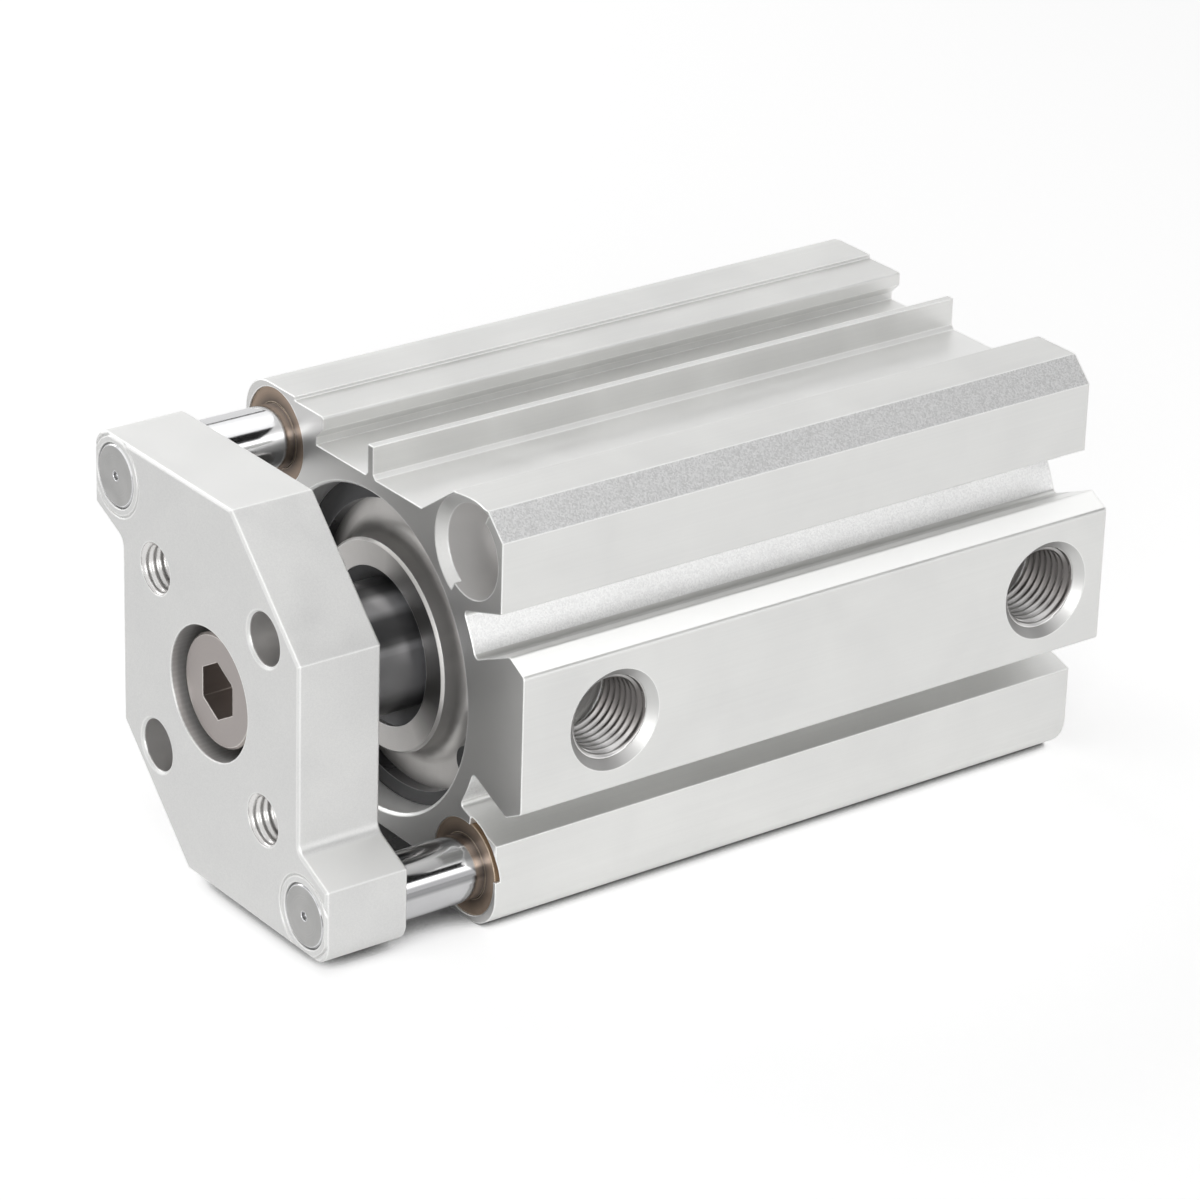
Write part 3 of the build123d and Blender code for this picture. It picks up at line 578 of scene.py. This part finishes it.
finishOf = {
    "cylinder_tube": "clearAnodised", "end_plate": "beadBlasted", "collar": "turnedAluminium",
    "head_cover": "turnedAluminium", "piston": "turnedAluminium", "piston_rod": "groundChrome",
    "guide_rod_upper": "upperGuideChrome", "guide_rod_lower": "lowerGuideChrome", "plate_screw": "screwSteel",
    "rod_side_retaining_ring": "blackSpringSteel", "head_retaining_ring": "blackSpringSteel",
    "rod_bushing": "sinteredBronze", "guide_bushing_upper_front": "upperBronze",
    "guide_bushing_upper_rear": "upperBronze", "guide_bushing_lower_front": "lowerBronze",
    "guide_bushing_lower_rear": "lowerBronze", "collar_o_ring": "sealRubber", "head_o_ring": "sealRubber",
    "rod_seal": "sealRubber", "piston_gasket": "sealRubber", "piston_seal": "sealRubber",
    "wear_ring": "wearResin", "piston_magnet": "magnetRubber", "front_bumper": "bumperRubber",
    "rear_bumper": "bumperRubber",
}
for name, node in shown.items():
    node.data.materials.clear()
    node.data.materials.append(finishes[finishOf[name]])
print("finishes given to", len(shown), "pieces")


# Points nearer than these count as lying at an end of the lining, or as one point
endReach = 0.001 * mm
mergeReach = 0.0005 * mm


# Geometry Nodes: the threaded lining of a hole, along +Z from its mouth. Each row of the grid is one
# step of the thread, and going once round climbs one pitch. The crests fade at the mouth and at the end.
def makeThreadTree():
    tree = bpy.data.node_groups.new("threadLining", "GeometryNodeTree")
    whole = "NodeSocketInt"
    sockets = {"Root Radius": (number, 4 * mm), "Back Radius": (number, 4.2 * mm),
               "Thread Depth": (number, 0.6 * mm), "Pitch": (number, 1.25 * mm), "Start": (number, 0.0),
               "Length": (number, 10 * mm), "Mouth Radius": (number, 4 * mm), "Steps Round": (whole, 64),
               "Rows": (whole, 60), "Rows in a Turn": (whole, 6)}
    for label, (kind, value) in sockets.items():
        tree.interface.new_socket(label, in_out="INPUT", socket_type=kind).default_value = value
    tree.interface.new_socket("Finish", in_out="INPUT", socket_type="NodeSocketMaterial")
    tree.interface.new_socket("Geometry", in_out="OUTPUT", socket_type="NodeSocketGeometry")
    given = addNode(tree, "NodeGroupInput").outputs
    out = addNode(tree, "NodeGroupOutput").inputs
    root, back, length = given["Root Radius"], given["Back Radius"], given["Length"]

    def work(operation, *values, **settings):
        return maths(tree, operation, *values, **settings)

    counts = {"Vertices X": work("ADD", given["Steps Round"], 1), "Vertices Y": work("ADD", given["Rows"], 1)}
    grid = addNode(tree, "GeometryNodeMeshGrid", {"Size X": 1.0, "Size Y": 1.0, **counts}).outputs["Mesh"]
    place = partsOf(tree, addNode(tree, "GeometryNodeInputPosition").outputs[0])
    turn = work("ADD", place["X"], 0.5)
    row = work("ROUND", work("MULTIPLY", work("ADD", place["Y"], 0.5), given["Rows"]))
    turns = work("DIVIDE", row, given["Rows in a Turn"])
    climbed = work("MULTIPLY", work("ADD", work("SUBTRACT", turns, 1.0), turn), given["Pitch"])
    fromStart = work("MAXIMUM", work("MINIMUM", climbed, length), 0.0)
    toEnd = work("SUBTRACT", length, fromStart)
    depth = work("ADD", fromStart, given["Start"])

    # The thread's section: a crest and a root in each turn, each with a flat that is this share of a flank
    flat = 0.1
    away = work("ABSOLUTE", work("SUBTRACT", work("MULTIPLY", work("FRACT", turns), 2.0), 1.0))
    ridge = work("MULTIPLY", work("SUBTRACT", 1 - flat, away), 1 / (1 - 2 * flat), clamp=True)
    threaded = work("SUBTRACT", root, work("MULTIPLY", ridge, given["Thread Depth"]))
    trimmed = work("MAXIMUM", threaded, work("SUBTRACT", given["Mouth Radius"], depth))
    trimmed = work("MAXIMUM", trimmed, work("SUBTRACT", root, toEnd))
    trimmed = work("MINIMUM", trimmed, root)
    nearEnd = work("LESS_THAN", work("MINIMUM", fromStart, toEnd), endReach)
    radius = work("MAXIMUM", trimmed, work("MULTIPLY", nearEnd, back))
    angle = work("MULTIPLY", turn, 2 * math.pi)
    cosine, sine = work("COSINE", angle), work("SINE", angle)

    def wrapRound(distance):
        ring = {"X": work("MULTIPLY", distance, cosine), "Y": work("MULTIPLY", distance, sine), "Z": depth}
        moved = {"Geometry": grid, "Position": addNode(tree, "ShaderNodeCombineXYZ", ring).outputs[0]}
        return addNode(tree, "GeometryNodeSetPosition", moved).outputs[0]

    joined = addNode(tree, "GeometryNodeJoinGeometry")
    inside = addNode(tree, "GeometryNodeFlipFaces", {"Mesh": wrapRound(radius)}).outputs[0]
    for wall in (inside, wrapRound(back)):
        tree.links.new(wall, joined.inputs[0])
    made = joined.outputs[0]
    for kind, inputs in (("MergeByDistance", {"Distance": mergeReach}),
                         ("SetShadeSmooth", {"Shade Smooth": True}), ("RealizeInstances", {}),
                         ("SetMaterial", {"Material": given["Finish"]})):
        made = addNode(tree, "GeometryNode" + kind, {"Geometry": made, **inputs}).outputs[0]
    tree.links.new(made, out["Geometry"])
    return tree


# Runs a geometry tree with its inputs set by name, and returns the result as a plain mesh
def runTree(tree, inputs):
    holder = bpy.data.objects.new("holder", bpy.data.meshes.new("holder"))
    bpy.context.scene.collection.objects.link(holder)
    modifier = holder.modifiers.new("thread", "NODES")
    modifier.node_group = tree
    sockets = {item.name: item.identifier for item in tree.interface.items_tree if item.in_out == "INPUT"}
    for name, value in inputs.items():
        modifier[sockets[name]] = value
    made = bpy.data.meshes.new_from_object(holder.evaluated_get(bpy.context.evaluated_depsgraph_get()))
    holder.modifiers.clear()
    bpy.data.objects.remove(holder)
    while None in list(made.materials):
        made.materials.pop(index=list(made.materials).index(None))
    return made


# Puts a finished mesh in the scene as a piece, its object at the origin
def addPiece(name, mesh, body):
    piece = bpy.data.objects.new(name, mesh)
    bpy.context.scene.collection.objects.link(piece)
    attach(piece, body)
    return piece


# Threads: quarter-inch pipe thread in the two ports, M8 in the plate's two tapped holes
portThread = {"root": 6.55 * mm, "back": 6.75 * mm, "depth": 0.84 * mm, "pitch": 1.337 * mm,
              "start": 1.32 * mm, "length": 10.5 * mm, "mouth": 7.9 * mm}
tapThread = {"root": 3.97 * mm, "back": 4.2 * mm, "depth": 0.62 * mm, "pitch": 1.25 * mm,
             "start": 0.02 * mm, "length": 13.9 * mm, "mouth": 4.05 * mm}
rowsInTurn = 6
stepsRound = 80
threadTree = makeThreadTree()


def addThread(name, thread, mouth, direction, body, finish):
    rows = math.ceil(rowsInTurn * (thread["length"] / thread["pitch"] + 1))
    mesh = runTree(threadTree, {"Root Radius": thread["root"], "Back Radius": thread["back"],
                                "Thread Depth": thread["depth"], "Pitch": thread["pitch"],
                                "Start": thread["start"], "Length": thread["length"],
                                "Mouth Radius": thread["mouth"], "Steps Round": stepsRound, "Rows": rows,
                                "Rows in a Turn": rowsInTurn, "Finish": finish})
    turned = Vector(direction).to_track_quat("Z", "Y").to_matrix().to_4x4()
    mesh.transform(Matrix.Translation(mouth) @ turned)
    addPiece(name, mesh, body)


# The rod's wiper lip: its front face slopes in to the rod, so the collar's mouth stands clear of it
lip = {"outer": 13.95 * mm, "rim": 12.3 * mm, "bore": 10.03 * mm, "slope": 2.1 * mm, "undercut": 1.3 * mm,
       "round": 128}


def makeLip():
    low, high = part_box("rod_seal")
    front, back = low.y, high.y
    profile = [(front, lip["outer"]), (front, lip["rim"]), (front + lip["slope"], lip["bore"]),
               (back, lip["bore"]), (back, lip["bore"] + lip["undercut"]),
               (back - 2 * lip["undercut"], (lip["bore"] + lip["outer"]) / 2),
               (back, lip["outer"] - lip["undercut"]), (back, lip["outer"])]
    corners, faces = [], []
    count = len(profile)
    for step in range(lip["round"]):
        angle = 2 * math.pi * step / lip["round"]
        corners += [(radius * math.cos(angle), y, radius * math.sin(angle)) for y, radius in profile]
        here, there = step * count, (step + 1) % lip["round"] * count
        for i in range(count):
            following = (i + 1) % count
            faces.append((here + i, here + following, there + following, there + i))
    mesh = bpy.data.meshes.new("rod_lip")
    mesh.from_pydata(corners, [], faces)
    mesh.materials.append(finishes["lipUrethane"])
    piece = addPiece("rod_lip", mesh, "cylinder")
    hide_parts("rod_seal")


makeLip()
print("seal lip made")

for end, y in portYs.items():
    addThread(end + "_port_thread", portThread, (tubeHigh.x, y, 0), (-1, 0, 0), "cylinder",
              finishes["threadedAluminium"])
for side, sign in (("upper", -1), ("lower", 1)):
    mouth = (sign * plateHolePlace, plateFront, -sign * plateHolePlace)
    addThread(side + "_tapped_thread", tapThread, mouth, (0, 1, 0), "carriage",
              finishes["beadBlasted"])
print("threads cut")

# Camera at the photograph's viewpoint
cameraPlace = {"location": (0.5618, -0.49209, 0.32388), "azimuth": 52.86, "elevation": 24.87, "roll": 1.779,
               "lens": 153.83, "sensor": 36.0}


def makeCamera():
    data = bpy.data.cameras.new("camera")
    data.lens, data.sensor_width = cameraPlace["lens"], cameraPlace["sensor"]
    camera = bpy.data.objects.new("camera", data)
    azimuth, elevation, roll = (math.radians(cameraPlace[name]) for name in ("azimuth", "elevation", "roll"))
    tilt = Matrix.Rotation(math.pi / 2 - elevation, 4, "X") @ Matrix.Rotation(roll, 4, "Z")
    heading = Matrix.Translation(cameraPlace["location"]) @ Matrix.Rotation(azimuth, 4, "Z")
    camera.matrix_world = heading @ tilt
    bpy.context.scene.collection.objects.link(camera)
    bpy.context.scene.camera = camera


# Soft boxes, each a place, an aim, a size and a power in watts
lamps = {
    "topBox": {"place": (0, -0.07, 0.9), "aim": (0, -0.06, 0), "size": (0.9, 0.9), "power": 2.4},
    "rightBox": {"place": (0.95, 0.1, 0.2), "aim": (0, -0.06, 0), "size": (0.7, 0.6), "power": 1.3},
    "leftBox": {"place": (-0.9, -0.2, 0.4), "aim": (0, -0.06, 0), "size": (0.7, 0.6), "power": 3.2},
    "frontBox": {"place": (0.75, -0.6, 0.25), "aim": (0, -0.06, 0), "size": (0.5, 0.5), "power": 3.0},
}
# Dark boards that only the polished metal mirrors, each a place, an aim and a size
boards = {
    "sideBoard": {"place": (0.71, 0.6, 0.71), "aim": (-0.02, -0.12, 0), "size": (0.56, 0.9)},
    "overBoard": {"place": (-0.67, 0.6, 0.743), "aim": (-0.02, -0.12, 0), "size": (0.12, 0.9)},
}
boardColour = (0.01, 0.01, 0.01)
world = {"colour": (1.0, 1.0, 1.0), "fill": 0.12, "background": 1.0}
floor = {"size": 6.0, "colour": (0.8, 0.8, 0.8), "glow": 0.57, "clearance": 0.02 * mm,
         "shade": 0.04, "shadeReach": 80 * mm, "shadeFrom": 0.1, "shadeTo": 0.3}


def makeLamps():
    for name, lamp in lamps.items():
        data = bpy.data.lights.new(name, "AREA")
        data.shape, data.size, data.size_y, data.energy = "RECTANGLE", *lamp["size"], lamp["power"]
        holder = bpy.data.objects.new(name, data)
        holder.location = lamp["place"]
        aim = Vector(lamp["aim"]) - Vector(lamp["place"])
        holder.rotation_euler = aim.to_track_quat("-Z", "Y").to_euler()
        bpy.context.scene.collection.objects.link(holder)


# A flat sheet of the studio: a middle, the directions of its sides and its half sizes
def makeSheet(name, middle, across, along, halves, material):
    corners = [middle + across * halves[0] * i + along * halves[1] * j
               for i, j in ((-1, -1), (1, -1), (1, 1), (-1, 1))]
    mesh = bpy.data.meshes.new(name)
    mesh.from_pydata(corners, [], [(0, 1, 2, 3)])
    mesh.materials.append(material)
    sheet = bpy.data.objects.new(name, mesh)
    bpy.context.scene.collection.objects.link(sheet)
    return sheet


def makeBoards():
    material, tree, shader = startMaterial("darkBoard")
    tree.nodes.remove(shader)
    dark = addNode(tree, "ShaderNodeBsdfDiffuse", {"Color": (*boardColour, 1.0)}).outputs[0]
    tree.links.new(dark, tree.nodes["Material Output"].inputs["Surface"])
    for name, board in boards.items():
        middle = Vector(board["place"])
        back = (middle - Vector(board["aim"])).normalized()
        along = (Vector((0, 1, 0)) - back * back.y).normalized()
        halves = [size / 2 for size in board["size"]]
        sheet = makeSheet(name, middle, back.cross(along), along, halves, material)
        sheet.visible_camera = sheet.visible_diffuse = sheet.visible_shadow = False


# True for what the eye or a mirror sees straight on
def seenDirectly(tree):
    path = addNode(tree, "ShaderNodeLightPath").outputs
    either = maths(tree, "MAXIMUM", path["Is Camera Ray"], path["Is Glossy Ray"])
    return maths(tree, "MAXIMUM", either, path["Is Transmission Ray"])


def makeWorld():
    made = bpy.data.worlds.new("studio")
    made.use_nodes = True
    tree = made.node_tree
    strength = mixValue(tree, seenDirectly(tree), world["fill"], world["background"])
    backdrop = tree.nodes["Background"]
    backdrop.inputs["Color"].default_value = (*world["colour"], 1.0)
    tree.links.new(strength, backdrop.inputs["Strength"])
    bpy.context.scene.world = made


def makeFloor():
    material, tree, shader = startMaterial("paperFloor")
    tree.nodes.remove(shader)
    # Where the object closes the paper in, the paper lies in its shade
    openness = addNode(tree, "ShaderNodeAmbientOcclusion", {"Distance": floor["shadeReach"]}).outputs["AO"]
    light = remap(tree, openness, floor["shadeFrom"], floor["shadeTo"], floor["shade"], 1.0)
    colour = mixColour(tree, light, (0.0, 0.0, 0.0), floor["colour"])
    paper = addNode(tree, "ShaderNodeBsdfDiffuse", {"Color": colour}).outputs[0]
    strength = maths(tree, "MULTIPLY", light, maths(tree, "MULTIPLY", seenDirectly(tree), floor["glow"]))
    glow = addNode(tree, "ShaderNodeEmission", {"Color": (1, 1, 1, 1), "Strength": strength}).outputs[0]
    both = addNode(tree, "ShaderNodeAddShader", {0: paper, 1: glow}).outputs[0]
    tree.links.new(both, tree.nodes["Material Output"].inputs["Surface"])
    middle = Vector((0, 0, cadBox[0].z - floor["clearance"]))
    makeSheet("floor", middle, Vector((1, 0, 0)), Vector((0, 1, 0)), [floor["size"] / 2] * 2, material)


makeCamera()
makeLamps()
makeBoards()
makeWorld()
makeFloor()
bpy.context.scene.view_settings.view_transform = "Standard"
print("camera, lamps, world and floor made")
